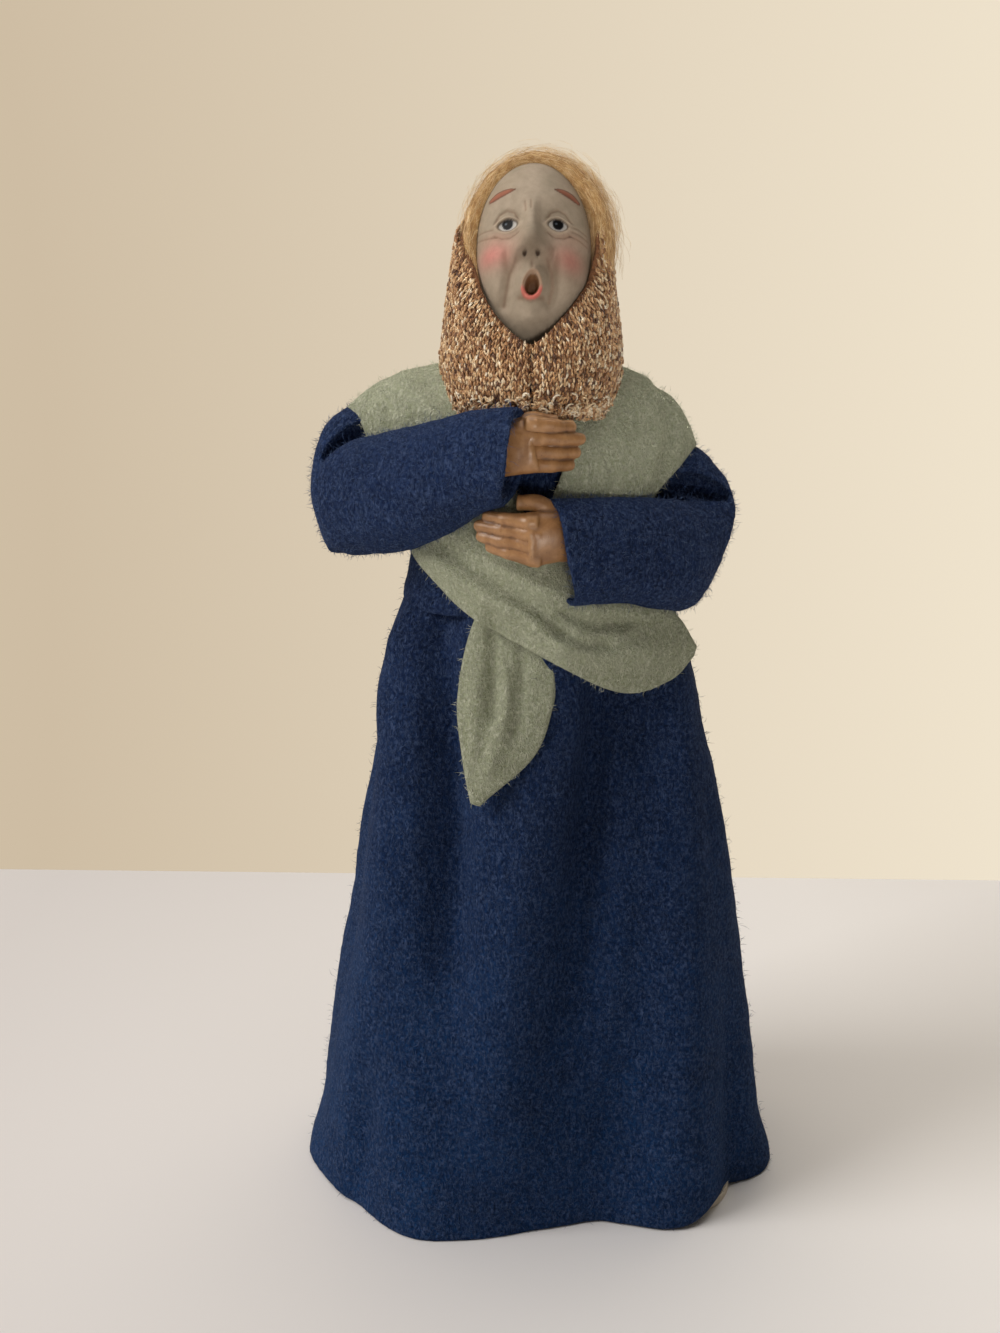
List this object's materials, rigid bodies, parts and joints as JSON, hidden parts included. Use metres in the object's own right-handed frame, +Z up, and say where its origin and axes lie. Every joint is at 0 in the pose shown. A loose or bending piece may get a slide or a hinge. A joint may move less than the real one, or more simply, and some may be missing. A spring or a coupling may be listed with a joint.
{
  "type": "caroler figurine",
  "caption": "Standing doll of a singing woman in a long felt dress, felt shawl and knit head scarf, with folded clay hands and a clay face.",
  "frame": {"origin": "on the table, under the middle of the base board", "axes": "+Z up, -Y the way the figure faces, +X to the viewer's right"},
  "size_m": [0.1607, 0.1101, 0.3299],
  "materials": {
    "card": "matte",
    "navy_felt": "woolly felt",
    "sage_felt": "woolly felt",
    "mottled_knit": "knit yarn",
    "face_clay": "matte",
    "hair": "fine fibre",
    "hand_clay": "satin"
  },
  "bodies": {
    "root": {"base_board": "card", "skirt": "navy_felt", "bodice": "navy_felt", "right_sleeve": "navy_felt", "left_sleeve": "navy_felt", "shawl": "sage_felt", "knit_scarf": "mottled_knit", "head": "face_clay", "hair": "hair", "right_hand": "hand_clay", "left_hand": "hand_clay"}
  },
  "joints": []
}
